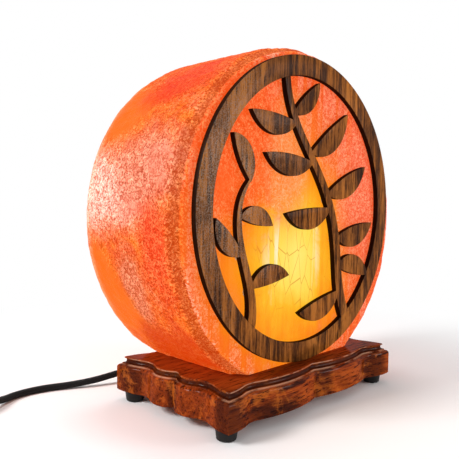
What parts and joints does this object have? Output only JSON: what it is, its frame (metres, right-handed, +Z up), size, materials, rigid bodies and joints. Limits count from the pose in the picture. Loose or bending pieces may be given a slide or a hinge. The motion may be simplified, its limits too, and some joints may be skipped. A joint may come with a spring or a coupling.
{
  "type": "salt crystal lamp",
  "caption": "Round slab of rock salt standing on a moulded wooden base, lit from a bore by a small bulb, with a wooden fretwork ring on its face and a mains lead with dimmer and plug.",
  "frame": {"origin": "on the table under the middle of the lamp's box, the lead left out", "axes": "+Z up, the fretwork faces -Y, +X to the right seen from the front"},
  "size_m": [0.4428, 0.2002, 0.2524],
  "materials": {
    "salt": "sawn and hand-dressed rock salt, translucent, lit from inside",
    "board_wood": "stained, varnished hardwood",
    "fretwork_wood": "walnut-stained laser-cut wood with dark edges",
    "foot_rubber": "moulded",
    "clear_adhesive": "cured clear adhesive",
    "zinc_steel": "zinc plated",
    "spring_steel": "tempered strip",
    "holder_plastic": "moulded",
    "insert_ceramic": "glazed insert",
    "brass": "bright",
    "bulb_metal": "rolled thread",
    "dark_glass": "dark vitreous button",
    "bulb_glass": "clear",
    "filament": "fine wire",
    "braided_cord": "braided textile cover",
    "dimmer_plastic": "moulded, fine spark texture",
    "plug_plastic": "soft moulded plastic",
    "circuit_board": "solder resist",
    "component_plastic": "moulded",
    "tie_fabric": "hook-and-loop strap"
  },
  "bodies": {
    "root": {"base_plate": "board_wood", "bough_fretwork": "fretwork_wood", "clamp_screws": "zinc_steel", "coil_feed": "braided_cord", "coil_tie": "tie_fabric", "cord_coil": "braided_cord", "dimmer_base": "dimmer_plastic", "dimmer_circuit": "circuit_board", "dimmer_components": "component_plastic", "dimmer_cover": "dimmer_plastic", "dimmer_screws": "zinc_steel", "dimmer_sleeves": "plug_plastic", "drum_bond": "clear_adhesive", "foot_back_left": "foot_rubber", "foot_back_right": "foot_rubber", "foot_front_left": "foot_rubber", "foot_front_right": "foot_rubber", "foot_screws": "zinc_steel", "glue_dots": "clear_adhesive", "inner_lead": "braided_cord", "lead_clamp": "zinc_steel", "mains_lead": "braided_cord", "pin_sleeves": "plug_plastic", "plug_body": "plug_plastic", "plug_lead": "braided_cord", "plug_pins": "brass", "plug_sleeve": "plug_plastic", "potentiometer": "component_plastic", "ring_frame": "fretwork_wood", "salt_drum": "salt"},
    "lamp_unit": {"holder_cap": "holder_plastic", "holder_skirt": "holder_plastic", "holder_insert": "insert_ceramic", "screw_shell": "brass", "centre_contact": "brass", "terminal_screws": "zinc_steel", "holder_nipple": "zinc_steel", "nipple_nut": "zinc_steel", "spring_bracket": "spring_steel", "holder_lead": "braided_cord", "holder_wires": "brass"},
    "bulb": {"bulb_glass": "bulb_glass", "bulb_cap": "bulb_metal", "bulb_insulator": "dark_glass", "bulb_tip": "bulb_metal", "bulb_stem": "bulb_glass", "bulb_filament": "filament"},
    "dimmer_wheel": {"dimmer_wheel": "dimmer_plastic"}
  },
  "joints": [
    {"name": "lamp_unit_slide", "type": "slide", "parent": "root", "child": "lamp_unit", "axis": [0, 0, -1], "range_m": [0, 0.13], "deforming": ["inner_lead"]},
    {"name": "bulb_unscrew", "type": "hinge", "parent": "lamp_unit", "child": "bulb", "pos_m": [0, 0.00975, 0.07], "axis": [0, 0, 1], "range_deg": [0, 2250]},
    {"name": "wheel_turn", "type": "hinge", "parent": "root", "child": "dimmer_wheel", "pos_m": [-0.23533, 0.0663, 0.009], "axis": [0, 0, 1], "range_deg": [-270, 0]}
  ]
}
